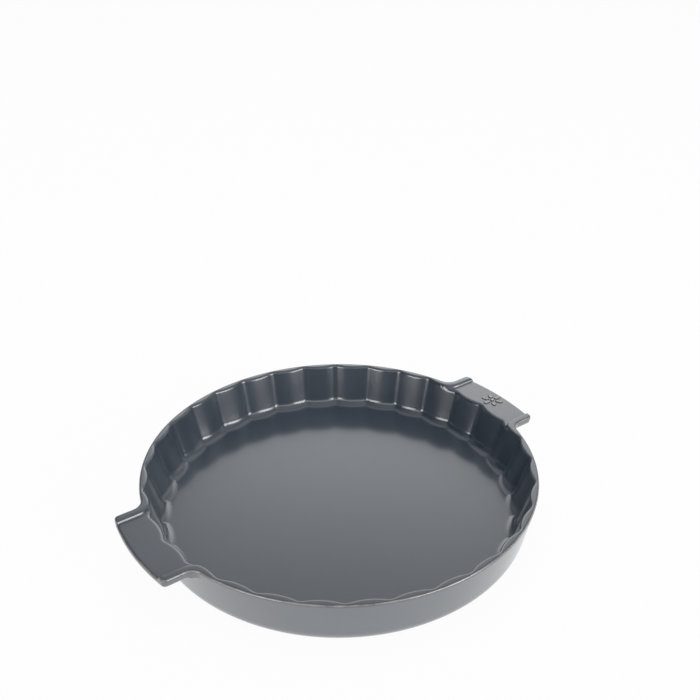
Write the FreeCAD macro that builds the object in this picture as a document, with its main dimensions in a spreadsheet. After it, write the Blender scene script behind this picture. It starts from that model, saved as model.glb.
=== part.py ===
"""Fluted ceramic tart dish with two flat side handles, in millimetres.

The dish is one thick ceramic casting. Its base lies on z = 0, the rim is level
at the full height, and the handles point along +X and -X. Inside, the wall is
fluted: broad lobes bulge towards the centre and meet in narrow creases, with a
crease on the handle axis. The rim runs out along both sides of each handle as
a raised ridge, and the plate between the ridges lies a little lower.
"""
import FreeCAD, Part
import math
import os

import Sketcher

os.makedirs("parts", exist_ok=True)
doc = FreeCAD.newDocument("tart_dish")

# Driving sizes in millimetres, degrees or pieces
SIZES = {
    # Bowl
    "dish_height": 40.0,
    "rim_radius": 150.0,
    "wall_draft": 10.8,
    "base_corner_radius": 11.5,
    "floor_thickness": 5.7,
    "foot_ring_width": 8.0,
    "foot_recess_depth": 1.2,
    # Flutes, measured at the rim
    "flutes_per_half": 16,
    "rim_land": 3.5,
    "flute_crease_radius": 6.0,
    "flute_depth": 2.6,
    "flute_draft": 15.8,
    "cove_radius": 5.0,
    # Handles
    "handle_width": 80.0,
    "handle_overhang": 20.3,
    "handle_end_radius": 193.0,
    "handle_corner_radius": 4.5,
    "handle_blend_radius": 9.0,
    "handle_thickness": 7.0,
    "ridge_width": 6.7,
    "plate_drop": 2.5,
    # Soft edges
    "handle_underside_radius": 2.0,
    "handle_root_radius": 4.0,
    "ridge_foot_radius": 1.2,
    "rim_edge_radius": 0.9,
}

sheet = doc.addObject("Spreadsheet::Sheet", "Sizes")
for row, (alias, value) in enumerate(SIZES.items(), start=1):
    sheet.set("A%d" % row, alias.replace("_", " "))
    sheet.set("B%d" % row, str(value))
    sheet.setAlias("B%d" % row, alias)
doc.recompute()

# Expressions that several features share
HALF_PITCH = "90 / Sizes.flutes_per_half"
CREASE_RADIUS = "(Sizes.rim_radius - Sizes.rim_land)"
CREST_RADIUS = "(%s - Sizes.flute_depth)" % CREASE_RADIUS
CAVITY_DEPTH = "(Sizes.dish_height - Sizes.floor_thickness)"
FLOOR_SCALE = "(1 - %s * tan(Sizes.flute_draft * 1 deg) / %s)" % (CAVITY_DEPTH, CREASE_RADIUS)
HANDLE_REACH = "(Sizes.rim_radius + Sizes.handle_overhang)"
RIDGE_INSIDE = "(Sizes.handle_width / 2 - Sizes.ridge_width)"

# The same sizes as numbers, to draw the sketches with and to find edges by
height = SIZES["dish_height"]
rim = SIZES["rim_radius"]
draft = math.radians(SIZES["wall_draft"])
crease_radius = rim - SIZES["rim_land"]
crest_radius = crease_radius - SIZES["flute_depth"]
half_pitch = 90 / SIZES["flutes_per_half"]
half_width = SIZES["handle_width"] / 2
ridge_inside = half_width - SIZES["ridge_width"]
reach = rim + SIZES["handle_overhang"]
flange_level = height - SIZES["handle_thickness"]
plate_level = height - SIZES["plate_drop"]

body = doc.addObject("PartDesign::Body", "tart_dish")
body.Label = "tart_dish"
body.Placement = FreeCAD.Placement()

# How the sketcher numbers an element's ends and centre, its axes and origin
START, END, CENTRE = range(1, 4)
X_AXIS, Y_AXIS = range(-1, -3, -1)
ORIGIN = (X_AXIS, START)


def origin_feature(role):
    """Return the plane or axis of the body's origin that has this role."""
    return next(item for item in body.Origin.OriginFeatures if item.Role == role)


def new_sketch(name, plane, level="0"):
    """Add a sketch on an origin plane, lifted to a level from the sheet."""
    sketch = body.newObject("Sketcher::SketchObject", name)
    sketch.AttachmentSupport = [(origin_feature(plane), "")]
    sketch.MapMode = "FlatFace"
    sketch.setExpression(".AttachmentOffset.Base.z", level)
    return sketch


def drive(sketch, kind, *arguments):
    """Add a dimension whose last argument is its expression."""
    elements, expression = arguments[:-1], arguments[-1]
    value = sketch.evalExpression(expression)
    index = sketch.addConstraint(Sketcher.Constraint(kind, *elements, value))
    sketch.setExpression("Constraints[%d]" % index, expression)


def point(x, y):
    return FreeCAD.Vector(x, y, 0)


def polar(radius, degrees):
    angle = math.radians(degrees)
    return point(radius * math.cos(angle), radius * math.sin(angle))


def line(start, end):
    return Part.LineSegment(start, end)


def circle(centre, radius):
    return Part.Circle(centre, FreeCAD.Vector(0, 0, 1), radius)


def arc(centre, radius, from_degrees, to_degrees):
    """Anticlockwise arc between two directions seen from its centre."""
    ends = math.radians(from_degrees), math.radians(to_degrees)
    return Part.ArcOfCircle(circle(centre, radius), *ends)


def finish_feature(feature, adds):
    """Make the feature the tip, then stop on a failure or an empty change."""
    body.Tip = feature
    doc.recompute()
    for item in doc.Objects:
        if "Invalid" in item.State or "Error" in item.State:
            raise RuntimeError("%s failed to build" % item.Name)
    shape = feature.Shape
    if shape.isNull() or not shape.isValid():
        raise RuntimeError("%s has no valid shape" % feature.Name)
    before = feature.BaseFeature.Shape.Volume if feature.BaseFeature else 0.0
    change = shape.Volume - before
    if abs(change) < 1.0 or (change > 0) != adds:
        raise RuntimeError("%s changed the volume by %.1f mm3" % (feature.Name, change))
    print("%-18s %9.1f mm3 %+10.1f" % (feature.Name, shape.Volume, change))
    return feature


def level_edges(feature, level, accept=lambda p: True):
    """Names of the edges that lie flat at a level and pass a test."""
    names = []
    for number, edge in enumerate(feature.Shape.Edges, start=1):
        if edge.Degenerated:
            continue
        points = edge.discretize(5)
        if all(abs(p.z - level) < 1e-4 and accept(p) for p in points):
            names.append("Edge%d" % number)
    return names


def round_edges(name, base, edge_names, radius, adds):
    """Round edges of the last feature with a radius from the sheet."""
    fillet = body.newObject("PartDesign::Fillet", name)
    fillet.Base = (base, edge_names)
    fillet.setExpression("Radius", radius)
    return finish_feature(fillet, adds)


def draw_flange_plan():
    """Outline of rim and handles: two halves of eight tangent elements.

    Each half starts with the +X or -X handle's end and runs over its corner,
    side and blend along the rim to the other handle.
    """
    sketch = new_sketch("flange_plan", "XY_Plane", "Sizes.dish_height")
    end_radius = SIZES["handle_end_radius"]
    end_centre = reach - end_radius
    corner = SIZES["handle_corner_radius"]
    corner_y = half_width - corner
    corner_x = end_centre + math.sqrt((end_radius - corner) ** 2 - corner_y ** 2)
    end_angle = math.degrees(math.atan2(corner_y, corner_x - end_centre))
    blend = SIZES["handle_blend_radius"]
    blend_y = half_width + blend
    blend_x = math.sqrt((rim + blend) ** 2 - blend_y ** 2)
    blend_angle = math.degrees(math.asin(blend_y / (rim + blend)))
    for side, turn in ((1, 0), (-1, 180)):
        side_y = side * half_width
        sketch.addGeometry([
            arc(point(side * end_centre, 0), end_radius, turn - end_angle, turn + end_angle),
            arc(point(side * corner_x, side * corner_y), corner, turn + end_angle, turn + 90),
            line(point(side * corner_x, side_y), point(side * blend_x, side_y)),
            arc(point(side * blend_x, side * blend_y), blend, turn - 180 + blend_angle, turn - 90),
            arc(point(0, 0), rim, turn + blend_angle, turn + 180 - blend_angle),
            arc(point(-side * blend_x, side * blend_y), blend, turn - 90, turn - blend_angle),
            line(point(-side * blend_x, side_y), point(-side * corner_x, side_y)),
            arc(point(-side * corner_x, side * corner_y), corner, turn + 90, turn + 180 - end_angle),
        ])

    # Where the outline enters and leaves each element of a half
    way = [(START, END), (START, END), (START, END), (END, START),
           (START, END), (END, START), (START, END), (START, END)] * 2
    for index, (enter, leave) in enumerate(way):
        following = (index + 1) % len(way)
        sketch.addConstraint(
            Sketcher.Constraint("Tangent", index, leave, following, way[following][0]))
    for end in (0, 8):
        sketch.addConstraint([
            Sketcher.Constraint("PointOnObject", end, CENTRE, X_AXIS),
            Sketcher.Constraint("Equal", 1, end + 7),
            Sketcher.Constraint("Equal", 3, end + 5),
            Sketcher.Constraint("Horizontal", end + 2),
            Sketcher.Constraint("Horizontal", end + 6),
            Sketcher.Constraint("Coincident", end + 4, CENTRE, *ORIGIN),
        ])
    sketch.addConstraint([
        Sketcher.Constraint("Equal", 0, 8),
        Sketcher.Constraint("Equal", 1, 9),
        Sketcher.Constraint("Equal", 3, 11),
        Sketcher.Constraint("Equal", 4, 12),
    ])
    drive(sketch, "Radius", 0, "Sizes.handle_end_radius")
    drive(sketch, "Radius", 1, "Sizes.handle_corner_radius")
    drive(sketch, "Radius", 3, "Sizes.handle_blend_radius")
    drive(sketch, "Radius", 4, "Sizes.rim_radius")
    for side_line in (2, 6):
        drive(sketch, "DistanceY", *ORIGIN, side_line, START, "Sizes.handle_width / 2")
    for side_line in (10, 14):
        drive(sketch, "DistanceY", side_line, START, *ORIGIN, "Sizes.handle_width / 2")
    end_offset = "Sizes.handle_end_radius - %s" % HANDLE_REACH
    drive(sketch, "DistanceX", 0, CENTRE, *ORIGIN, end_offset)
    drive(sketch, "DistanceX", *ORIGIN, 8, CENTRE, end_offset)
    return sketch


def draw_bowl_section():
    """Half section of the bowl, solid inside, with its foot ring."""
    sketch = new_sketch("bowl_section", "XZ_Plane")
    corner = SIZES["base_corner_radius"]
    recess = SIZES["foot_recess_depth"]
    foot_outside = rim - (height - corner) * math.tan(draft) - corner / math.cos(draft)
    foot_inside = foot_outside - SIZES["foot_ring_width"]
    wall_foot = point(foot_outside + corner * math.cos(draft), corner * (1 - math.sin(draft)))
    sketch.addGeometry([
        line(point(0, recess), point(foot_inside - recess, recess)),
        line(point(foot_inside - recess, recess), point(foot_inside, 0)),
        line(point(foot_inside, 0), point(foot_outside, 0)),
        arc(point(foot_outside, corner), corner, -90, -SIZES["wall_draft"]),
        line(wall_foot, point(rim, height)),
        line(point(rim, height), point(0, height)),
        line(point(0, height), point(0, recess)),
    ])
    sketch.addConstraint([
        Sketcher.Constraint("PointOnObject", 0, START, Y_AXIS),
        Sketcher.Constraint("Horizontal", 0),
        Sketcher.Constraint("Coincident", 0, END, 1, START),
        Sketcher.Constraint("Coincident", 1, END, 2, START),
        Sketcher.Constraint("PointOnObject", 2, START, X_AXIS),
        Sketcher.Constraint("Horizontal", 2),
        Sketcher.Constraint("Tangent", 2, END, 3, START),
        Sketcher.Constraint("Tangent", 3, END, 4, START),
        Sketcher.Constraint("Coincident", 4, END, 5, START),
        Sketcher.Constraint("Horizontal", 5),
        Sketcher.Constraint("Coincident", 5, END, 6, START),
        Sketcher.Constraint("Vertical", 6),
        Sketcher.Constraint("Coincident", 6, END, 0, START),
    ])
    drive(sketch, "DistanceY", *ORIGIN, 0, START, "Sizes.foot_recess_depth")
    drive(sketch, "DistanceX", 1, START, 1, END, "Sizes.foot_recess_depth")
    drive(sketch, "DistanceX", 2, START, 2, END, "Sizes.foot_ring_width")
    drive(sketch, "Radius", 3, "Sizes.base_corner_radius")
    drive(sketch, "Angle", X_AXIS, START, 4, START, "(90 - Sizes.wall_draft) * 1 deg")
    drive(sketch, "DistanceY", *ORIGIN, 4, END, "Sizes.dish_height")
    drive(sketch, "DistanceX", *ORIGIN, 4, END, "Sizes.rim_radius")
    return sketch


def flare_radius(crest_angle):
    """Radius of the arc from a ridge's inner side to the crest at an angle."""
    sine = math.sin(math.radians(crest_angle))
    return (crest_radius * sine - ridge_inside) / (1 - sine)


def draw_recess_plan():
    """Outline of the sunken plate between the ridges of the +X handle.

    Each ridge's inner side flares into the rim and meets it, without a step,
    on the crest of a lobe. Crests lie at odd half pitches, and the flare takes
    the first of them that leaves room for the soft edge along it.
    """
    step = next(step for step in range(1, SIZES["flutes_per_half"], 2)
                if flare_radius(step * half_pitch) > SIZES["rim_edge_radius"])
    angle = step * half_pitch
    flare = flare_radius(angle)
    flare_x = (crest_radius + flare) * math.cos(math.radians(angle))
    past_end = reach + SIZES["handle_thickness"]
    crest = polar(crest_radius, angle)
    crest_below = polar(crest_radius, -angle)
    runout = crest + polar(SIZES["flute_crease_radius"], angle + 90)
    runout_below = crest_below + polar(SIZES["flute_crease_radius"], -angle - 90)

    sketch = new_sketch("recess_plan", "XY_Plane", "Sizes.dish_height")
    sketch.addGeometry([
        line(point(past_end, -ridge_inside), point(flare_x, -ridge_inside)),
        arc(point(flare_x, -ridge_inside - flare), flare, 90, 180 - angle),
        line(crest_below, runout_below),
        line(runout_below, point(0, 0)),
        line(point(0, 0), runout),
        line(runout, crest),
        arc(point(flare_x, ridge_inside + flare), flare, 180 + angle, 270),
        line(point(flare_x, ridge_inside), point(past_end, ridge_inside)),
        line(point(past_end, ridge_inside), point(past_end, -ridge_inside)),
    ])
    sketch.addGeometry([line(point(0, 0), crest_below), line(point(0, 0), crest)], True)
    sketch.addConstraint([
        Sketcher.Constraint("Tangent", 0, END, 1, START),
        Sketcher.Constraint("Tangent", 1, END, 2, START),
        Sketcher.Constraint("Coincident", 2, END, 3, START),
        Sketcher.Constraint("Coincident", 3, END, *ORIGIN),
        Sketcher.Constraint("Coincident", 4, START, *ORIGIN),
        Sketcher.Constraint("Coincident", 4, END, 5, START),
        Sketcher.Constraint("Tangent", 5, END, 6, START),
        Sketcher.Constraint("Tangent", 6, END, 7, START),
        Sketcher.Constraint("Coincident", 7, END, 8, START),
        Sketcher.Constraint("Coincident", 8, END, 0, START),
        Sketcher.Constraint("Horizontal", 0),
        Sketcher.Constraint("Horizontal", 7),
        Sketcher.Constraint("Vertical", 8),
        Sketcher.Constraint("Equal", 2, 5),
        Sketcher.Constraint("Coincident", 9, START, *ORIGIN),
        Sketcher.Constraint("Coincident", 9, END, 1, END),
        Sketcher.Constraint("Coincident", 10, START, *ORIGIN),
        Sketcher.Constraint("Coincident", 10, END, 6, START),
        Sketcher.Constraint("Symmetric", 9, END, 10, END, X_AXIS),
        Sketcher.Constraint("Perpendicular", 2, 9),
        Sketcher.Constraint("Perpendicular", 5, 10),
    ])
    drive(sketch, "DistanceY", *ORIGIN, 7, START, RIDGE_INSIDE)
    drive(sketch, "DistanceY", 0, END, *ORIGIN, RIDGE_INSIDE)
    drive(sketch, "DistanceX", *ORIGIN, 8, START, "%s + Sizes.handle_thickness" % HANDLE_REACH)
    drive(sketch, "Distance", 5, "Sizes.flute_crease_radius")
    drive(sketch, "Distance", 10, CREST_RADIUS)
    drive(sketch, "Angle", X_AXIS, START, 10, START, "%d * %s * 1 deg" % (step, HALF_PITCH))
    return sketch


def draw_fluted_outline(name, level, scale):
    """Sketch the closed outline of the fluted wall at one level.

    Creases and lobes take turns as tangent arcs. All crease centres lie on one
    circle and all lobe centres on another, and the lobes touch a crest circle.
    The scale shrinks every size, so that two levels stay similar.
    """
    sketch = new_sketch(name, "XY_Plane", level)
    count = 2 * SIZES["flutes_per_half"]
    crease = SIZES["flute_crease_radius"]
    crease_circle = crease_radius - crease
    along = crease_circle * math.cos(math.radians(half_pitch))
    lobe = ((crest_radius ** 2 + crease_circle ** 2 - 2 * crest_radius * along - crease ** 2)
            / (2 * (crease + along - crest_radius)))
    lobe_circle = crest_radius + lobe
    lobe_centre = polar(lobe_circle, half_pitch)
    touch = math.degrees(math.atan2(lobe_centre.y, lobe_centre.x - crease_circle))
    for number in range(count):
        turn = 2 * half_pitch * number
        facing = turn + 180
        sketch.addGeometry([
            arc(polar(crease_circle, turn), crease, turn - touch, turn + touch),
            arc(polar(lobe_circle, turn + half_pitch), lobe,
                facing + 2 * half_pitch - touch, facing + touch),
        ])
    crease_guide, lobe_guide, crest_guide = range(2 * count, 2 * count + 3)
    sketch.addGeometry([
        circle(point(0, 0), crease_circle),
        circle(point(0, 0), lobe_circle),
        circle(point(0, 0), crest_radius),
    ], True)

    rules = [Sketcher.Constraint("PointOnObject", 0, CENTRE, X_AXIS)]
    for guide in (crease_guide, lobe_guide, crest_guide):
        rules.append(Sketcher.Constraint("Coincident", guide, CENTRE, *ORIGIN))
    for this_crease in range(0, 2 * count, 2):
        this_lobe = this_crease + 1
        next_crease = (this_crease + 2) % (2 * count)
        rules += [
            Sketcher.Constraint("Tangent", this_crease, END, this_lobe, END),
            Sketcher.Constraint("Tangent", this_lobe, START, next_crease, START),
            Sketcher.Constraint("PointOnObject", this_crease, CENTRE, crease_guide),
            Sketcher.Constraint("PointOnObject", this_lobe, CENTRE, lobe_guide),
        ]
        if this_crease:
            rules += [
                Sketcher.Constraint("Equal", 0, this_crease),
                Sketcher.Constraint("Equal", 1, this_lobe),
            ]
    rules.append(Sketcher.Constraint("Tangent", 1, crest_guide))
    sketch.addConstraint(rules)
    drive(sketch, "Radius", 0, "Sizes.flute_crease_radius * %s" % scale)
    drive(sketch, "Radius", crease_guide,
          "(%s - Sizes.flute_crease_radius) * %s" % (CREASE_RADIUS, scale))
    drive(sketch, "Radius", crest_guide, "%s * %s" % (CREST_RADIUS, scale))
    return sketch


# Rim slab with both handles, drafted like the wall and soft underneath
flange = body.newObject("PartDesign::Pad", "flange")
flange.Profile = draw_flange_plan()
flange.Reversed = True
flange.setExpression("Length", "Sizes.handle_thickness")
flange.setExpression("TaperAngle", "-Sizes.wall_draft")
finish_feature(flange, adds=True)
underside_edge = round_edges("underside_edge", flange, level_edges(flange, flange_level),
                             "Sizes.handle_underside_radius", adds=False)

# Bowl with its foot, turned about the vertical axis
bowl = body.newObject("PartDesign::Revolution", "bowl")
bowl.Profile = draw_bowl_section()
bowl.ReferenceAxis = (bowl.Profile[0], ["V_Axis"])
bowl.Angle = 360
finish_feature(bowl, adds=True)
handle_root = round_edges(
    "handle_root", bowl, level_edges(bowl, flange_level, lambda p: math.hypot(p.x, p.y) < rim),
    "Sizes.handle_root_radius", adds=True)

# Sunken handle plates between the ridges
recess = body.newObject("PartDesign::Pocket", "plate_recess")
recess.Profile = draw_recess_plan()
recess.setExpression("Length", "Sizes.plate_drop")
recess.setExpression("TaperAngle", "-Sizes.flute_draft")
finish_feature(recess, adds=False)
both_recesses = body.newObject("PartDesign::PolarPattern", "both_recesses")
both_recesses.Originals = [recess]
both_recesses.Axis = (origin_feature("Z_Axis"), [""])
both_recesses.Angle = 360
both_recesses.Occurrences = 2
finish_feature(both_recesses, adds=False)
ridge_foot = round_edges(
    "ridge_foot", both_recesses,
    level_edges(both_recesses, plate_level, lambda p: abs(p.y) > ridge_inside - SIZES["plate_drop"]),
    "Sizes.ridge_foot_radius", adds=True)

# Fluted cavity, drafted from the rim down to the floor, with its scalloped cove
cavity = body.newObject("PartDesign::SubtractiveLoft", "fluted_cavity")
cavity.Profile = draw_fluted_outline("outline_at_rim", "Sizes.dish_height", "1")
cavity.Sections = [draw_fluted_outline("outline_at_floor", "Sizes.floor_thickness", FLOOR_SCALE)]
cavity.Ruled = True
finish_feature(cavity, adds=False)
cove = round_edges("scalloped_cove", cavity, level_edges(cavity, SIZES["floor_thickness"]),
                   "Sizes.cove_radius", adds=True)

# Soft glazed edges at rim level: the fluted inside with the ridges' inner
# edges, then the outside, one tangent chain with the ends of both handles
rim_inner_edge = round_edges(
    "rim_inner_edge", cove,
    level_edges(cove, height, lambda p: math.hypot(p.x, p.y) < crease_radius + 0.01),
    "Sizes.rim_edge_radius", adds=False)
rim_outer_edge = round_edges(
    "rim_outer_edge", rim_inner_edge,
    level_edges(rim_inner_edge, height,
                lambda p: math.hypot(p.x, p.y) > rim - 0.01 and abs(p.y) > half_width - 0.01),
    "Sizes.rim_edge_radius", adds=False)

body.Shape.exportStep("parts/tart_dish.step")
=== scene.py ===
"""Looks of the ceramic tart dish: glazed mesh, slate glaze, studio light and camera.

The dish is drawn again from the sizes of its solid, with rounder edges, as
sections that start and end on its axis. A section runs from the middle of the
floor over the cove, the fluted wall and the rim or the handle, then down to the
foot ring and back under the floor.
"""
import math

import bmesh
import bpy
from mathutils import Matrix, Vector


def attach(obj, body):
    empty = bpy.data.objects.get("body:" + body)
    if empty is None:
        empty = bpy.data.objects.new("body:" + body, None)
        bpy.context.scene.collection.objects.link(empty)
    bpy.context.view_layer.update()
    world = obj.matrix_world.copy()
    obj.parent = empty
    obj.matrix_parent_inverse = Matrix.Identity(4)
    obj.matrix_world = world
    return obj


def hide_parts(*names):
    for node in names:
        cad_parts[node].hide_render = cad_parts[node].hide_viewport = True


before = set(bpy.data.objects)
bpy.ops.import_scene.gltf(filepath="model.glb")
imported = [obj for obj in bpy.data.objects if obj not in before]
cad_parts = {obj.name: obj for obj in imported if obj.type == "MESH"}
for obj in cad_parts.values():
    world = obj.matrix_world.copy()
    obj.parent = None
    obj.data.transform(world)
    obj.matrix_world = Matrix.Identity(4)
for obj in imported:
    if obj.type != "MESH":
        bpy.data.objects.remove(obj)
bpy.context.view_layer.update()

MM = 0.001
UP = Vector((0, 0, 1))

# Sizes that the mesh shares with the solid, in millimetres
HEIGHT = 40.0
FLOOR = 5.7
RIM = 150.0
BASE_CORNER = 11.5
FOOT_RING = 8.0
FOOT_RECESS = 1.2
RIM_LAND = 3.5
FLUTE_DEPTH = 2.6
SIDE_Y = 40.0
HANDLE_END = 170.3
HANDLE_END_RADIUS = 193.0
HANDLE_CORNER = 4.5
HANDLE_BLEND = 9.0
FLANGE = 7.0
RIDGE_WIDTH = 6.7
RIDGE_FOOT = 1.2
PLATE_DROP = 2.5
UNDERSIDE = 2.0
ROOT = 4.0

# Angles that the mesh shares with the solid
PITCH = math.radians(11.25)
WALL_DRAFT = math.radians(10.8)
FLUTE_DRAFT = math.radians(15.8)

# Radii that are larger than the solid's, as the glaze leaves them
CREASE = 7.5
COVE = 8.0
EDGE = 2.2
OUTER_EDGE = 1.5
PLATE_EDGE = 2.8

# The handle's end stands upright here, this far inside the solid's outline
END_INSET = 0.7

# Softening of the foot ring's edges
FOOT_SOFT = 0.35

# Largest share of the handle's reach that its two lower rounds take
FLANGE_ROUNDED = 0.96

# Angles closer than this count as the same
SAME_ANGLE = 1e-9

# Halvings that a search takes to its place
HALVINGS = 40


def polar(radius, angle, z=0.0):
    """Point at a radius and an angle about the dish's axis."""
    return Vector((radius * math.cos(angle), radius * math.sin(angle), z))


def arc_angle(x, y, radius, turn):
    """Angle, seen from the axis, of a point on an arc about a centre."""
    return math.atan2(y + radius * math.sin(turn), x + radius * math.cos(turn))


def tangent_length(radius, turn):
    """Length from a corner to where a round of this radius starts."""
    return radius * math.tan(turn / 2)


def soft_step(share):
    """Smooth rise from 0 to 1, level at both ends."""
    share = min(1.0, max(0.0, share))
    return share * share * (3 - 2 * share)


# Arcs of the fluted outline at the rim, where creases and lobes touch
HALF_PITCH = PITCH / 2
CREASE_RADIUS = RIM - RIM_LAND
CREST_RADIUS = CREASE_RADIUS - FLUTE_DEPTH
CREASE_CIRCLE = CREASE_RADIUS - CREASE
CENTRE_ALONG = CREASE_CIRCLE * math.cos(HALF_PITCH)
LOBE = ((CREST_RADIUS ** 2 + CREASE_CIRCLE ** 2 - 2 * CREST_RADIUS * CENTRE_ALONG - CREASE ** 2)
        / (2 * (CREASE + CENTRE_ALONG - CREST_RADIUS)))
LOBE_CIRCLE = CREST_RADIUS + LOBE
LOBE_CENTRE = polar(LOBE_CIRCLE, HALF_PITCH)
TOUCH = math.atan2(LOBE_CENTRE.y, LOBE_CENTRE.x - CREASE_CIRCLE)
CREASE_SPAN = arc_angle(CREASE_CIRCLE, 0, CREASE, TOUCH)
FLUTE_SHRINK = math.tan(FLUTE_DRAFT) / CREASE_RADIUS

# Elements of the handle's outline in the first quarter
END_CENTRE = HANDLE_END - HANDLE_END_RADIUS
CORNER_Y = SIDE_Y - HANDLE_CORNER
CORNER_X = END_CENTRE + math.sqrt((HANDLE_END_RADIUS - HANDLE_CORNER) ** 2 - CORNER_Y ** 2)
END_TURN = math.atan2(CORNER_Y, CORNER_X - END_CENTRE)
END_STOP = Vector((END_CENTRE + HANDLE_END_RADIUS * math.cos(END_TURN),
                   HANDLE_END_RADIUS * math.sin(END_TURN), 0))
BLEND_Y = SIDE_Y + HANDLE_BLEND
BLEND_X = math.sqrt((RIM + HANDLE_BLEND) ** 2 - BLEND_Y ** 2)

# Angles at which that outline goes over into its next element
END_ANGLE = math.atan2(END_STOP.y, END_STOP.x)
CORNER_ANGLE = math.atan2(SIDE_Y, CORNER_X)
SIDE_ANGLE = math.atan2(SIDE_Y, BLEND_X)
BLEND_ANGLE = math.atan2(BLEND_Y, BLEND_X)

# Outline of the sunken plate, whose flare starts on the crest of a lobe
RIDGE_INSIDE = SIDE_Y - RIDGE_WIDTH
CREST_ANGLE = 3 * HALF_PITCH
CREST_SINE = math.sin(CREST_ANGLE)
FLARE = (CREST_RADIUS * CREST_SINE - RIDGE_INSIDE) / (1 - CREST_SINE)
FLARE_CENTRE = polar(CREST_RADIUS + FLARE, CREST_ANGLE)

# Cross-section of the step from the rim down to the plate, by the distance
# inside the plate's outline
STEP_TURN = math.pi / 2 - FLUTE_DRAFT
EDGE_START = -tangent_length(EDGE, STEP_TURN)
EDGE_STOP = EDGE_START + EDGE * math.sin(STEP_TURN)
EDGE_DROP = EDGE * (1 - math.cos(STEP_TURN))
FOOT_DROP = PLATE_DROP - RIDGE_FOOT * (1 - math.cos(STEP_TURN))
FOOT_START = EDGE_STOP + (FOOT_DROP - EDGE_DROP) / math.tan(STEP_TURN)
FOOT_STOP = FOOT_START + RIDGE_FOOT * math.sin(STEP_TURN)

# Half section of the bowl below the rim
BOWL_SLOPE = math.tan(WALL_DRAFT)
BOWL_UNDER_FLANGE = RIM - FLANGE * BOWL_SLOPE
FOOT_OUTSIDE = RIM - (HEIGHT - BASE_CORNER) * BOWL_SLOPE - BASE_CORNER / math.cos(WALL_DRAFT)
RING_INSIDE = FOOT_OUTSIDE - FOOT_RING

# Points that each stretch of a section adds
COVE_POINTS = 7
WALL_POINTS = 9
EDGE_POINTS = 5
PLATE_POINTS = 7
RIDGE_FOOT_POINTS = 5
TOP_POINTS = 3
OUTER_EDGE_POINTS = 6
SIDE_POINTS = 3
UNDERSIDE_POINTS = 4
FLANGE_POINTS = 3
ROOT_POINTS = 4
BOWL_POINTS = 6
BASE_POINTS = 7
RING_POINTS = 2
RECESS_POINTS = 4

# Points of the floor as shares of its reach, closer together towards the cove
FLOOR_SHARES = (0.0, 0.35, 0.6, 0.78, 0.9, 0.96, 0.985, 0.996, 1.0)

# Lines of the step by their distance inside the plate's outline, from its foot
# up to the end of its edge
STEP_LINES = [FOOT_STOP - RIDGE_FOOT * math.sin(STEP_TURN * number / (RIDGE_FOOT_POINTS - 1))
              for number in range(RIDGE_FOOT_POINTS)]
STEP_LINES += [EDGE_START + EDGE * math.sin(STEP_TURN * number / EDGE_POINTS)
               for number in range(EDGE_POINTS, -1, -1)]

# How far the glaze draws back on the points of each edge, from 0 to 1
RIM_EDGE_MARKS = [0.1, 0.35, 0.35, 0.1, 0.0]
PLATE_EDGE_MARKS = [0.0, 0.15, 0.15, 0.0, 0.0]
RIDGE_EDGE_MARKS = [0.2, 0.5, 0.5, 0.2, 0.0]
OUTER_EDGE_MARKS = [0.3, 0.8, 1.0, 0.8, 0.3, 0.0]
UNDERSIDE_MARKS = [0.3, 0.5, 0.3, 0.0]


def step_drop(inside):
    """Depth below the rim at a distance inside the plate's outline."""
    if inside <= EDGE_START:
        return 0.0
    if inside <= EDGE_STOP:
        return EDGE - math.sqrt(EDGE ** 2 - (inside - EDGE_START) ** 2)
    if inside <= FOOT_START:
        return EDGE_DROP + (inside - EDGE_STOP) * math.tan(STEP_TURN)
    if inside <= FOOT_STOP:
        return PLATE_DROP - RIDGE_FOOT + math.sqrt(RIDGE_FOOT ** 2 - (FOOT_STOP - inside) ** 2)
    return PLATE_DROP


def plate_distance(spot):
    """Distance of a point inside the plate's outline."""
    if spot.x >= FLARE_CENTRE.x:
        return RIDGE_INSIDE - spot.y
    return (spot.xy - FLARE_CENTRE.xy).length - FLARE


def top_level(spot):
    """Level of the top of rim, ridge and plate above a point."""
    return HEIGHT - step_drop(plate_distance(spot))


def crossings(angle, centre, radius):
    """Both radii at which a ray from the axis crosses a circle."""
    along = centre.x * math.cos(angle) + centre.y * math.sin(angle)
    half = math.sqrt(max(0.0, along ** 2 - centre.xy.length_squared + radius ** 2))
    return along - half, along + half


def plate_radius(angle, inside):
    """Radius at which a ray crosses the line at a distance inside the plate's outline."""
    if angle <= SAME_ANGLE:
        return math.inf
    straight = (RIDGE_INSIDE - inside) / math.sin(angle)
    if straight * math.cos(angle) >= FLARE_CENTRE.x:
        return straight
    return min(crossings(angle, FLARE_CENTRE, FLARE + inside))


def wall_outline(angle):
    """Point and outward normal of the fluted outline at rim level."""
    crease = round(angle / PITCH) * PITCH
    if abs(angle - crease) <= CREASE_SPAN:
        centre = polar(CREASE_CIRCLE, crease)
        spot = polar(max(crossings(angle, centre, CREASE)), angle)
        return spot, (spot - centre) / CREASE
    crest = (math.floor(angle / PITCH) + 0.5) * PITCH
    centre = polar(LOBE_CIRCLE, crest)
    spot = polar(min(crossings(angle, centre, LOBE)), angle)
    return spot, (centre - spot) / LOBE


def wall_point(outline, z):
    """Point of the fluted wall at a level, in line with a point of its outline."""
    return outline * (1 - (HEIGHT - z) * FLUTE_SHRINK) + UP * z


def wall_upward(outline):
    """Way up the fluted wall, in line with a point of its outline."""
    return (wall_point(outline, HEIGHT) - wall_point(outline, FLOOR)).normalized()


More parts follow.
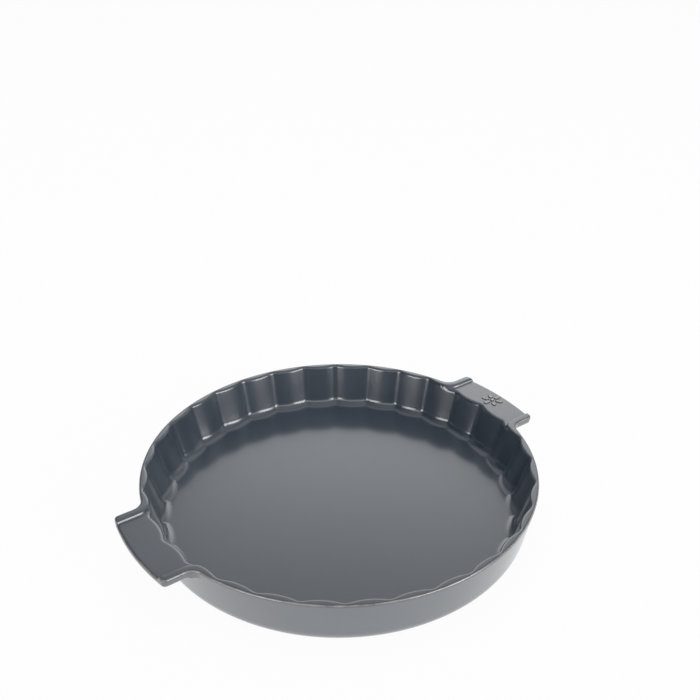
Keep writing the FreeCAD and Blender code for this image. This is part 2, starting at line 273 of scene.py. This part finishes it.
def outer_outline(angle):
    """Point and outward normal of rim and handle at rim level."""
    if angle >= BLEND_ANGLE:
        spot = polar(RIM, angle)
        return spot, spot / RIM
    if angle >= SIDE_ANGLE:
        centre = Vector((BLEND_X, BLEND_Y, 0))
        spot = polar(min(crossings(angle, centre, HANDLE_BLEND)), angle)
        return spot, (centre - spot) / HANDLE_BLEND
    if angle >= CORNER_ANGLE:
        return Vector((SIDE_Y / math.tan(angle), SIDE_Y, 0)), Vector((0, 1, 0))
    centre = Vector((END_CENTRE, 0, 0))
    radius = HANDLE_END_RADIUS
    if angle >= END_ANGLE:
        centre = Vector((CORNER_X, CORNER_Y, 0))
        radius = HANDLE_CORNER
    spot = polar(max(crossings(angle, centre, radius)), angle)
    return spot, (spot - centre) / radius


def bisect(test, low, high):
    """Place between low, where the test holds, and high, where it stops."""
    for halving in range(HALVINGS):
        middle = (low + high) / 2
        if test(middle):
            low = middle
        else:
            high = middle
    return (low + high) / 2


def meeting_level(side):
    """Level at which a drafted side meets the top of ridge or plate."""
    below_plate = HEIGHT - PLATE_DROP - 1
    return bisect(lambda z: top_level(side(z)) > z, below_plate, HEIGHT)


class Section:
    """Line of points over the dish, each with a mark for how far the glaze draws back."""

    def __init__(self, points):
        self.points = points
        self.marks = [0.0] * len(points)

    def add(self, points, marks=None):
        self.points += points
        self.marks += marks or [0.0] * len(points)

    def run(self, end, count):
        """Straight on to an end, with points closer together at both ends."""
        start = self.points[-1]
        shares = [(1 - math.cos(math.pi * number / count)) / 2 for number in range(1, count + 1)]
        self.add([start.lerp(end, share) for share in shares])

    def bend(self, corner, end, count, marks=None):
        """Round the inside of a corner to an end."""
        start = self.points[-1]
        pull = math.cos((corner - start).angle(end - corner, 0.0) / 2)
        points = []
        for number in range(1, count + 1):
            t = number / count
            weights = ((1 - t) ** 2, 2 * pull * t * (1 - t), t * t)
            total = start * weights[0] + corner * weights[1] + end * weights[2]
            points.append(total / sum(weights))
        self.add(points, marks)


def floor_and_cove(outline, outward):
    """Section that has got from the floor's centre to the top of the cove."""
    foot_corner = wall_point(outline, FLOOR)
    lean = math.atan(outline.dot(outward) * FLUTE_SHRINK)
    reach = tangent_length(COVE, math.pi / 2 - lean)
    foot = foot_corner - outward * reach
    shoulder = foot_corner + (outward * math.sin(lean) + UP * math.cos(lean)) * reach
    centre = UP * FLOOR
    section = Section([centre.lerp(foot, share) for share in FLOOR_SHARES])
    section.bend(foot_corner, shoulder, COVE_POINTS)
    return section


def add_rim_top(section, outline, outward, outer_top):
    """Wall, inner edge and top of the rim between the handles."""
    corner = wall_point(outline, HEIGHT)
    size = tangent_length(EDGE, STEP_TURN)
    wall_end = corner - wall_upward(outline) * size
    section.run(wall_end, WALL_POINTS)

    # The points that a handle's section has for its plate come together here
    section.add([wall_end] * (EDGE_POINTS + PLATE_POINTS + RIDGE_FOOT_POINTS))
    section.bend(corner, corner + outward * size, EDGE_POINTS, RIM_EDGE_MARKS)
    section.run(outer_top, TOP_POINTS)


def add_handle_top(section, ray, angle, outline, outer_top):
    """Wall, plate, ridge and top of a section through a handle."""
    corner = wall_point(outline, meeting_level(lambda z: wall_point(outline, z)))
    size = tangent_length(PLATE_EDGE, STEP_TURN)

    def on_top(radius):
        spot = ray * radius
        return spot + UP * top_level(spot)

    corner_radius = corner.xy.length
    begin_radius = bisect(lambda radius: (on_top(radius) - corner).length < size,
                          corner_radius, corner_radius + size)
    begin = on_top(begin_radius)
    section.run(corner - wall_upward(outline) * size, WALL_POINTS)
    section.bend(corner, begin, EDGE_POINTS, PLATE_EDGE_MARKS)

    # The step's lines stay between the plate's inner edge and the outer edge
    spots = []
    for inside in STEP_LINES:
        radius = plate_radius(angle, inside)
        if radius <= begin_radius:
            spots.append(begin)
        elif radius >= outer_top.xy.length:
            spots.append(outer_top)
        else:
            spots.append(on_top(radius))
    section.run(spots[0], PLATE_POINTS)
    section.add(spots[1:], [0.0] * RIDGE_FOOT_POINTS + RIDGE_EDGE_MARKS)
    section.run(outer_top, TOP_POINTS)


def outer_side(angle):
    """Function from level to point of the outer side, its inward way and its draft."""
    outline, outward = outer_outline(angle)

    # The handle's corner turns from the drafted side to the upright end
    upright = soft_step((CORNER_ANGLE - angle) / (CORNER_ANGLE - END_ANGLE))
    draft = WALL_DRAFT * (1 - upright)

    def side(z):
        inset = END_INSET * upright + (HEIGHT - z) * math.tan(draft)
        return outline - outward * inset + UP * z

    inward = -polar(1.0, angle) if angle < END_ANGLE else -outward
    return side, inward, draft


def side_downward(side):
    """Way down the outer side of rim or handle."""
    return (side(0) - side(HEIGHT)).normalized()


def bowl_downward(ray):
    """Way down the bowl's outer wall."""
    sine = math.sin(WALL_DRAFT)
    return Vector((-ray.x * sine, -ray.y * sine, -math.cos(WALL_DRAFT)))


def add_flange(section, ray, side, inward, draft):
    """Side of rim or handle, and the handle's underside, which shrinks away on the rim."""
    under_corner = side(HEIGHT - FLANGE)
    root_corner = ray * BOWL_UNDER_FLANGE + UP * (HEIGHT - FLANGE)
    gap = max(0.0, under_corner.xy.length - BOWL_UNDER_FLANGE)
    under = tangent_length(UNDERSIDE, math.pi / 2 - draft)
    root = tangent_length(ROOT, math.pi / 2 - WALL_DRAFT)
    share = min(1.0, FLANGE_ROUNDED * gap / (under + root))
    section.run(under_corner - side_downward(side) * (under * share), SIDE_POINTS)
    section.bend(under_corner, under_corner + inward * (under * share), UNDERSIDE_POINTS,
                 [mark * share for mark in UNDERSIDE_MARKS])
    section.run(root_corner + ray * (root * share), FLANGE_POINTS)
    section.bend(root_corner, root_corner + bowl_downward(ray) * (root * share), ROOT_POINTS)


def add_bowl(section, ray):
    """Outer wall of the bowl and its base corner."""
    size = tangent_length(BASE_CORNER, math.pi / 2 - WALL_DRAFT)
    base_corner = ray * (FOOT_OUTSIDE + size)
    section.run(base_corner - bowl_downward(ray) * size, BOWL_POINTS)
    section.bend(base_corner, ray * FOOT_OUTSIDE, BASE_POINTS)


def add_foot(section, ray):
    """Foot ring, with a chamfer up to the recessed underside."""
    ring_corner = ray * RING_INSIDE
    recess_corner = ray * (RING_INSIDE - FOOT_RECESS) + UP * FOOT_RECESS
    chamfer = (ray * -1.0 + UP).normalized()
    section.run(ring_corner + ray * FOOT_SOFT, RING_POINTS)
    section.bend(ring_corner, ring_corner + chamfer * FOOT_SOFT, RING_POINTS)
    section.add([recess_corner - chamfer * FOOT_SOFT])
    section.bend(recess_corner, recess_corner - ray * FOOT_SOFT, RING_POINTS)
    section.run(UP * FOOT_RECESS, RECESS_POINTS)


def dish_section(angle):
    """Whole section at an angle in the first quarter."""
    ray = polar(1.0, angle)
    side, inward, draft = outer_side(angle)
    level = HEIGHT
    if angle < CREST_ANGLE and top_level(side(HEIGHT)) < HEIGHT:
        level = meeting_level(side)
    corner = side(level)
    size = tangent_length(OUTER_EDGE, math.pi / 2 + draft)
    outer_top = corner + inward * size
    if angle < CREST_ANGLE:
        outer_top.z = top_level(outer_top)

    outline, outward = wall_outline(angle)
    section = floor_and_cove(outline, outward)
    if angle >= CREST_ANGLE - SAME_ANGLE:
        add_rim_top(section, outline, outward, outer_top)
    else:
        add_handle_top(section, ray, angle, outline, outer_top)
    section.bend(corner, corner + side_downward(side) * size, OUTER_EDGE_POINTS, OUTER_EDGE_MARKS)
    add_flange(section, ray, side, inward, draft)
    add_bowl(section, ray)
    add_foot(section, ray)
    return section


# Steps between the sections of each arc
CREASE_STEPS = 5
LOBE_STEPS = 7
CORNER_STEPS = 8
SIDE_STEPS = 4
BLEND_STEPS = 9

# Extra sections from just inside the ridge to the crest, along the curved step
RIDGE_MARGIN = 3.0
RIDGE_ANGLE = math.atan2(RIDGE_INSIDE - RIDGE_MARGIN, HANDLE_END)
RIDGE_STEPS = 44

# The step runs out on the handle's end this far inside the end's outline
STEP_END_INSET = 1.1

# A section closer to the last one than this is left out
NARROWEST = math.radians(0.02)

# Points closer than this are joined, and shorter edges removed, in millimetres
SAME_POINT = 0.002
SHORTEST_EDGE = 0.0001


def flute_angles():
    """Angles of the sections on creases and lobes."""
    angles = []
    for number in range(round(math.pi / 2 / PITCH) + 1):
        crease = PITCH * number
        for step in range(CREASE_STEPS + 1):
            offset = arc_angle(CREASE_CIRCLE, 0, CREASE, TOUCH * step / CREASE_STEPS)
            angles += [crease - offset, crease + offset]
        crest = crease + HALF_PITCH
        for step in range(LOBE_STEPS):
            turn = (TOUCH - HALF_PITCH) * step / LOBE_STEPS
            offset = math.atan2(LOBE * math.sin(turn), LOBE_CIRCLE - LOBE * math.cos(turn))
            angles += [crest - offset, crest + offset]
    return angles


def handle_angles():
    """Angles of the sections on the handle's corner, side and blend, and on its step."""
    angles = []
    for step in range(CORNER_STEPS + 1):
        turn = END_TURN + (math.pi / 2 - END_TURN) * step / CORNER_STEPS
        angles.append(arc_angle(CORNER_X, CORNER_Y, HANDLE_CORNER, turn))
    for step in range(1, SIDE_STEPS):
        angles.append(math.atan2(SIDE_Y, CORNER_X + (BLEND_X - CORNER_X) * step / SIDE_STEPS))
    for step in range(BLEND_STEPS + 1):
        turn = -math.pi / 2 - (math.pi / 2 - BLEND_ANGLE) * step / BLEND_STEPS
        angles.append(arc_angle(BLEND_X, BLEND_Y, HANDLE_BLEND, turn))
    step_end = END_CENTRE + math.sqrt(HANDLE_END_RADIUS ** 2 - RIDGE_INSIDE ** 2) - STEP_END_INSET
    for inside in STEP_LINES:
        angles.append(math.atan2(RIDGE_INSIDE - inside, step_end))
    for step in range(RIDGE_STEPS):
        angles.append(RIDGE_ANGLE + (CREST_ANGLE - RIDGE_ANGLE) * step / RIDGE_STEPS)
    return angles


def section_angles():
    """Angles of all sections from the handle's axis to a quarter turn, in order."""
    kept = []
    for angle in sorted(flute_angles() + handle_angles()):
        in_quarter = -SAME_ANGLE <= angle <= math.pi / 2 + SAME_ANGLE
        if in_quarter and (not kept or angle - kept[-1] > NARROWEST):
            kept.append(max(0.0, angle))
    return kept


def smooth_object(name, shape):
    """Object with smooth shading, made from a finished shape."""
    for face in shape.faces:
        face.smooth = True
    mesh = bpy.data.meshes.new(name)
    shape.to_mesh(mesh)
    shape.free()
    thing = bpy.data.objects.new(name, mesh)
    bpy.context.collection.objects.link(thing)
    return thing


def section_row(shape, mark, section, flip_x, flip_y):
    """Vertices of a section, mirrored into its quarter of the dish."""
    row = []
    for spot, value in zip(section.points, section.marks):
        vert = shape.verts.new(Vector((spot.x * flip_x, spot.y * flip_y, spot.z)) * MM)
        vert[mark] = value
        row.append(vert)
    return row


def dish_object():
    """Closed mesh of the dish, made of one quarter's sections and their mirror images."""
    quarter = [dish_section(angle) for angle in section_angles()]
    quarters = (
        (quarter, 1, 1),
        (quarter[-2::-1], -1, 1),
        (quarter[1:], -1, -1),
        (quarter[-2:0:-1], 1, -1),
    )
    shape = bmesh.new()
    mark = shape.verts.layers.float.new("edge")
    rows = []
    for sections, flip_x, flip_y in quarters:
        rows += [section_row(shape, mark, section, flip_x, flip_y) for section in sections]
    for row, following in zip(rows, rows[1:] + rows[:1]):
        for j in range(len(row) - 1):
            shape.faces.new((row[j], row[j + 1], following[j + 1], following[j]))

    # Points that fall together, such as those on the axis, become one
    bmesh.ops.remove_doubles(shape, verts=shape.verts, dist=SAME_POINT * MM)
    bmesh.ops.dissolve_degenerate(shape, dist=SHORTEST_EDGE * MM, edges=shape.edges)
    return smooth_object("dish", shape)


# Generic rosette on the +X handle's plate, in millimetres
ROSETTE_PLACE = (158.6, 0.0)
ROSETTE_RADIUS = 10.0
ROSETTE_PETALS = 6
PETAL_MIDDLE = 5.9
PETAL_HALF_LENGTH = 3.7
PETAL_HALF_WIDTH = 2.3
PETAL_RISE = 0.8
BUD_RADIUS = 2.0
RAISED_LINE = 0.95
PETAL_HOLLOW = 0.4
ROSETTE_SUNK = 0.04
ROSETTE_BACK = 0.6
ROSETTE_RINGS = 56
ROSETTE_SPOKES = 180

# The glaze draws back where twice the share of the full height passes this
ROSETTE_MARK_START = 0.9


def rosette_rise(radius, angle):
    """Share of the rosette's full height: petals with a raised border and vein, and a bud."""
    petal_pitch = 2 * math.pi / ROSETTE_PETALS
    turn = (angle + petal_pitch / 2) % petal_pitch - petal_pitch / 2
    along = radius * math.cos(turn) - PETAL_MIDDLE
    across = radius * math.sin(turn)
    inside = PETAL_HALF_WIDTH * (1 - math.hypot(along / PETAL_HALF_LENGTH, across / PETAL_HALF_WIDTH))
    border = soft_step(inside / RAISED_LINE)
    hollow = soft_step(inside / RAISED_LINE - 1) * soft_step(abs(across) / RAISED_LINE)
    petal = border * (1 - PETAL_HOLLOW * hollow)
    return max(petal, soft_step((BUD_RADIUS - radius) / RAISED_LINE))


def rosette_object():
    """Closed relief whose border and back lie inside the plate."""
    level = HEIGHT - PLATE_DROP - ROSETTE_SUNK
    middle = Vector((*ROSETTE_PLACE, 0))
    shape = bmesh.new()
    mark = shape.verts.layers.float.new("edge")
    top = shape.verts.new((middle + UP * (level + PETAL_RISE)) * MM)
    rows = []
    for ring in range(1, ROSETTE_RINGS + 1):
        radius = ROSETTE_RADIUS * ring / ROSETTE_RINGS
        row = []
        for spoke in range(ROSETTE_SPOKES):
            angle = 2 * math.pi * spoke / ROSETTE_SPOKES
            share = rosette_rise(radius, angle)
            vert = shape.verts.new((middle + polar(radius, angle, level + PETAL_RISE * share)) * MM)
            vert[mark] = soft_step(2 * share - ROSETTE_MARK_START)
            row.append(vert)
        rows.append(row)
    rows.append([shape.verts.new(vert.co - UP * ROSETTE_BACK * MM) for vert in rows[-1]])
    for spoke in range(ROSETTE_SPOKES):
        following = (spoke + 1) % ROSETTE_SPOKES
        shape.faces.new((top, rows[0][spoke], rows[0][following]))
        for inner, outer in zip(rows, rows[1:]):
            shape.faces.new((inner[spoke], outer[spoke], outer[following], inner[following]))
    shape.faces.new(rows[-1][::-1])
    return smooth_object("handle_rosette", shape)


# Camera, solved from the rim ellipse and the straight handle ridges: its place
# in metres, its turns in degrees, its focal length and its frame in pixels
CAMERA_PLACE = (-0.32887, -0.46766, 0.45858)
CAMERA_HEADING = -35.88
CAMERA_PITCH = -29.290
CAMERA_ROLL = -0.2324
FOCAL_PIXELS = 924.99
FRAME_PIXELS = 700

# Width of its sensor in millimetres, and the nearest distance it sees in metres
SENSOR_WIDTH = 36
NEAREST_SEEN = 0.01


def add_camera():
    """Camera that sees the dish as the photograph does."""
    camera = bpy.data.cameras.new("camera")
    camera.sensor_width = SENSOR_WIDTH
    camera.lens = FOCAL_PIXELS / FRAME_PIXELS * SENSOR_WIDTH
    camera.clip_start = NEAREST_SEEN
    rig = bpy.data.objects.new("camera", camera)
    bpy.context.collection.objects.link(rig)
    turn = Matrix.Rotation(math.radians(CAMERA_HEADING), 4, "Z")
    tilt = Matrix.Rotation(math.radians(90 + CAMERA_PITCH), 4, "X")
    roll = Matrix.Rotation(math.radians(-CAMERA_ROLL), 4, "Z")
    rig.matrix_world = Matrix.Translation(CAMERA_PLACE) @ turn @ tilt @ roll
    bpy.context.scene.camera = rig


class Nodes:
    """Short way to add and link shader nodes of one material or world."""

    def __init__(self, owner):
        owner.use_nodes = True
        self.tree = owner.node_tree
        self.tree.nodes.clear()

    def add(self, kind, inputs=None, **settings):
        node = self.tree.nodes.new(kind)
        for name, value in settings.items():
            setattr(node, name, value)
        for name, value in (inputs or {}).items():
            if isinstance(value, bpy.types.NodeSocket):
                self.tree.links.new(value, node.inputs[name])
            else:
                node.inputs[name].default_value = value
        return node

    def math(self, operation, first, second=0.0):
        node = self.add("ShaderNodeMath", {0: first, 1: second}, operation=operation)
        return node.outputs[0]

    def vector(self, operation, first, second=(0, 0, 0)):
        return self.add("ShaderNodeVectorMath", {0: first, 1: second}, operation=operation).outputs

    def noise(self, place, size, detail, roughness=0.5):
        """Noise whose features are about this many metres across."""
        node = self.add("ShaderNodeTexNoise", {
            "Vector": place, "Scale": 1 / size, "Detail": detail, "Roughness": roughness})
        return node.outputs["Fac"]

    def step(self, value, low, high, at_low=0.0, at_high=1.0):
        """Soft step of a value between two limits."""
        node = self.add("ShaderNodeMapRange", {
            "Value": value, "From Min": low, "From Max": high, "To Min": at_low, "To Max": at_high},
            interpolation_type="SMOOTHSTEP")
        return node.outputs["Result"]

    def mix_colours(self, share, first, second):
        node = self.add("ShaderNodeMix", {0: share, 6: first, 7: second}, data_type="RGBA")
        return node.outputs[2]

    def mix_numbers(self, share, first, second):
        node = self.add("ShaderNodeMix", {0: share, 2: first, 3: second}, data_type="FLOAT")
        return node.outputs[0]


def grey(value):
    """Colour that is equally bright in all channels."""
    return (value, value, value, 1.0)


# Colours of the glaze, its specks, its thin edges and the clay under it
GLAZE_DEEP = (0.029, 0.044, 0.065, 1.0)
GLAZE_PALE = (0.035, 0.052, 0.075, 1.0)
GLAZE_SPECK = (0.055, 0.075, 0.098, 1.0)
GLAZE_THIN = (0.36, 0.33, 0.29, 1.0)
BARE_CLAY = (0.46, 0.40, 0.33, 1.0)

# Sizes of the glaze's patterns in metres
CLOUD_SIZE = 0.03
GRAIN_SIZE = 0.0011
UNEVEN_SIZE = 0.008
SWELL_SIZE = 0.012

# Limits between which a pattern goes from one look to the next
CLOUD_LIMITS = (0.3, 0.7)
SPECK_LIMITS = (0.62, 0.78)
THIN_LIMITS = (0.95, 1.55)

# Highest shares of the speck and thin colours, and how much the patterns count
SPECK_SHARE = 0.35
THIN_SHARE = 0.85
UNEVEN_AT_EDGES = 0.9
GRAIN_IN_RELIEF = 0.015

# Levels in metres between which the glaze ends above the foot, and their unevenness
FOOT_LIMITS = (0.00055, 0.00075)
UNEVEN_AT_FOOT = 0.0006

# Gloss of the glaze, and the height of its relief in metres
SATIN_ROUGHNESS = (0.42, 0.46)
CLAY_ROUGHNESS = 0.8
GLAZE_IOR = 1.62
COAT_ROUGHNESS = 0.165
COAT_IOR = 2.0
RELIEF_HEIGHT = 0.000016


def glaze_material():
    """Slate glaze, satin to glossy, thin and warm on edges, wiped off the foot ring."""
    material = bpy.data.materials.new("slate_glaze")
    nodes = Nodes(material)
    place = nodes.add("ShaderNodeTexCoord").outputs["Object"]
    clouds = nodes.noise(place, CLOUD_SIZE, detail=3.0)
    grain = nodes.noise(place, GRAIN_SIZE, detail=3.0)
    glaze = nodes.mix_colours(nodes.step(clouds, *CLOUD_LIMITS), GLAZE_DEEP, GLAZE_PALE)
    speck = nodes.step(grain, *SPECK_LIMITS, 0.0, SPECK_SHARE)
    glaze = nodes.mix_colours(speck, glaze, GLAZE_SPECK)

    # The glaze draws back from the edges, unevenly along them
    edge = nodes.add("ShaderNodeAttribute", attribute_name="edge").outputs["Fac"]
    uneven = nodes.noise(place, UNEVEN_SIZE, detail=2.0)
    reach = nodes.math("ADD", edge, nodes.math("MULTIPLY", uneven, UNEVEN_AT_EDGES))
    thin = nodes.step(reach, *THIN_LIMITS, 0.0, THIN_SHARE)
    glaze = nodes.mix_colours(thin, glaze, GLAZE_THIN)

    # Bare clay where the foot ring stands
    level = nodes.add("ShaderNodeSeparateXYZ", {"Vector": place}).outputs["Z"]
    wiped = nodes.math("ADD", level, nodes.math("MULTIPLY", uneven, UNEVEN_AT_FOOT))
    glazed = nodes.step(wiped, *FOOT_LIMITS)
    colour = nodes.mix_colours(glazed, BARE_CLAY, glaze)
    satin = nodes.step(clouds, *CLOUD_LIMITS, *SATIN_ROUGHNESS)

    # Slow swell of the glaze with a little of its grain
    swell = nodes.noise(place, SWELL_SIZE, detail=1.0)
    relief = nodes.math("ADD", swell, nodes.math("MULTIPLY", grain, GRAIN_IN_RELIEF))
    bump = nodes.add("ShaderNodeBump", {"Height": relief, "Strength": 1.0, "Distance": RELIEF_HEIGHT})
    shader = nodes.add("ShaderNodeBsdfPrincipled", {
        "Base Color": colour,
        "Roughness": nodes.mix_numbers(glazed, CLAY_ROUGHNESS, satin),
        "IOR": GLAZE_IOR,
        "Normal": bump.outputs["Normal"],
        "Coat Weight": 1.0,
        "Coat Roughness": COAT_ROUGHNESS,
        "Coat IOR": COAT_IOR,
        "Coat Normal": bump.outputs["Normal"],
    })
    nodes.add("ShaderNodeOutputMaterial", {"Surface": shader.outputs[0]})
    return material


def material_on(thing, material):
    """Gives an object its only material."""
    thing.data.materials.clear()
    thing.data.materials.append(material)


# Half the table's width, and the gap that keeps it and the foot ring from sharing
# one plane, both in metres
FLOOR_REACH = 6.0
FLOOR_GAP = 0.0001
FLOOR_GREY = 0.80

# How far the camera sees the table as plain white instead of lit
FLOOR_WHITENED = 0.96


def floor_material():
    """White that keeps the dish's shadow for the camera, plain white in mirror rays."""
    material = bpy.data.materials.new("white_floor")
    nodes = Nodes(material)
    lit = nodes.add("ShaderNodeBsdfDiffuse", {"Color": grey(FLOOR_GREY)})
    glow = nodes.add("ShaderNodeEmission", {"Color": grey(1.0), "Strength": 1.0})
    path = nodes.add("ShaderNodeLightPath").outputs
    seen = nodes.math("MULTIPLY", path["Is Camera Ray"], FLOOR_WHITENED)
    mirrored = nodes.math("MAXIMUM", path["Is Glossy Ray"], path["Is Transmission Ray"])
    share = nodes.math("MAXIMUM", seen, mirrored)
    mixed = nodes.add("ShaderNodeMixShader", {0: share, 1: lit.outputs[0], 2: glow.outputs[0]})
    nodes.add("ShaderNodeOutputMaterial", {"Surface": mixed.outputs[0]})
    material.cycles.emission_sampling = "NONE"
    return material


def add_floor():
    """Wide white table under the dish."""
    mesh = bpy.data.meshes.new("floor")
    corners = [(FLOOR_REACH * x, FLOOR_REACH * y, -FLOOR_GAP)
               for x, y in ((-1, -1), (1, -1), (1, 1), (-1, 1))]
    mesh.from_pydata(corners, [], [(0, 1, 2, 3)])
    floor = bpy.data.objects.new("floor", mesh)
    bpy.context.collection.objects.link(floor)
    material_on(floor, floor_material())


# Soft panels round the dish: the way from straight behind it, clockwise seen
# from above, half the width, lowest and highest edge, all in degrees, then the
# level of the light and the softness of the edges in degrees
PANELS = (
    (3, 11, 8, 39, 1.40, 10),
    (48, 18, 4, 34, 0.35, 6),
    (-44, 12, 4, 34, 0.20, 6),
    (0, 80, 44, 88, 0.36, 6),
    (180, 80, 44, 88, 0.24, 6),
    (180, 34, 20, 36, 1.0, 5),
    (124, 15, 2, 26, 4.7, 5),
    (-138, 12, 2, 22, 4.0, 4),
)

# Light all round, which rises from the camera's left to its right
LEFT_LEVEL = 0.02
RIGHT_LEVEL = 0.22
SIDE_LIMITS = (-0.8, 1.0)


def level_way(heading):
    """Level way at a heading in degrees."""
    return (math.cos(math.radians(heading)), math.sin(math.radians(heading)), 0)


def panel_light(nodes, flat, height, turn, half_width, low, high, strength, softness):
    """Light of one soft panel."""
    soft = math.radians(softness)
    width = math.radians(half_width)
    facing = nodes.vector("DOT_PRODUCT", flat, level_way(90 + CAMERA_HEADING - turn))["Value"]
    widest = min(math.pi, width + 2 * soft)
    narrowest = max(0, width - 2 * soft)
    across = nodes.step(facing, math.cos(widest), math.cos(narrowest))
    above = nodes.step(height, math.radians(low) - soft, math.radians(low) + soft)
    below = nodes.step(height, math.radians(high) - soft, math.radians(high) + soft, 1.0, 0.0)
    return nodes.math("MULTIPLY", nodes.math("MULTIPLY", across, above),
                      nodes.math("MULTIPLY", below, strength))


def add_world():
    """Studio of soft panels, plain white where the camera looks past the floor."""
    world = bpy.data.worlds.new("studio")
    bpy.context.scene.world = world
    nodes = Nodes(world)
    way = nodes.add("ShaderNodeTexCoord").outputs["Generated"]
    height = nodes.math("ARCSINE", nodes.add("ShaderNodeSeparateXYZ", {"Vector": way}).outputs["Z"])
    flat = nodes.vector("NORMALIZE", nodes.vector("MULTIPLY", way, (1, 1, 0))[0])[0]
    sideways = nodes.vector("DOT_PRODUCT", way, level_way(CAMERA_HEADING))["Value"]
    light = nodes.step(sideways, *SIDE_LIMITS, LEFT_LEVEL, RIGHT_LEVEL)
    for panel in PANELS:
        light = nodes.math("ADD", panel_light(nodes, flat, height, *panel), light)
    camera_ray = nodes.add("ShaderNodeLightPath").outputs["Is Camera Ray"]
    strength = nodes.mix_numbers(camera_ray, light, 1.0)
    background = nodes.add("ShaderNodeBackground", {"Color": grey(1.0), "Strength": strength})
    nodes.add("ShaderNodeOutputWorld", {"Surface": background.outputs[0]})


# Side and height of the fill lamp in metres, and its level
FILL_SIZE = 1.6
FILL_HEIGHT = 2.4
FILL_LEVEL = 2.9


def add_fill():
    """Broad lamp overhead that lifts the shade without a mirror image."""
    light = bpy.data.lights.new("fill", "AREA")
    light.size = FILL_SIZE
    light.energy = FILL_LEVEL * math.pi * FILL_SIZE ** 2
    lamp = bpy.data.objects.new("fill", light)
    bpy.context.collection.objects.link(lamp)
    lamp.location = (0, 0, FILL_HEIGHT)
    lamp.visible_glossy = False


glaze = glaze_material()
dish = dish_object()
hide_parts("tart_dish")
for piece in (dish, rosette_object()):
    material_on(piece, glaze)
    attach(piece, "root")

add_camera()
add_floor()
add_world()
add_fill()
bpy.context.scene.view_settings.view_transform = "Standard"
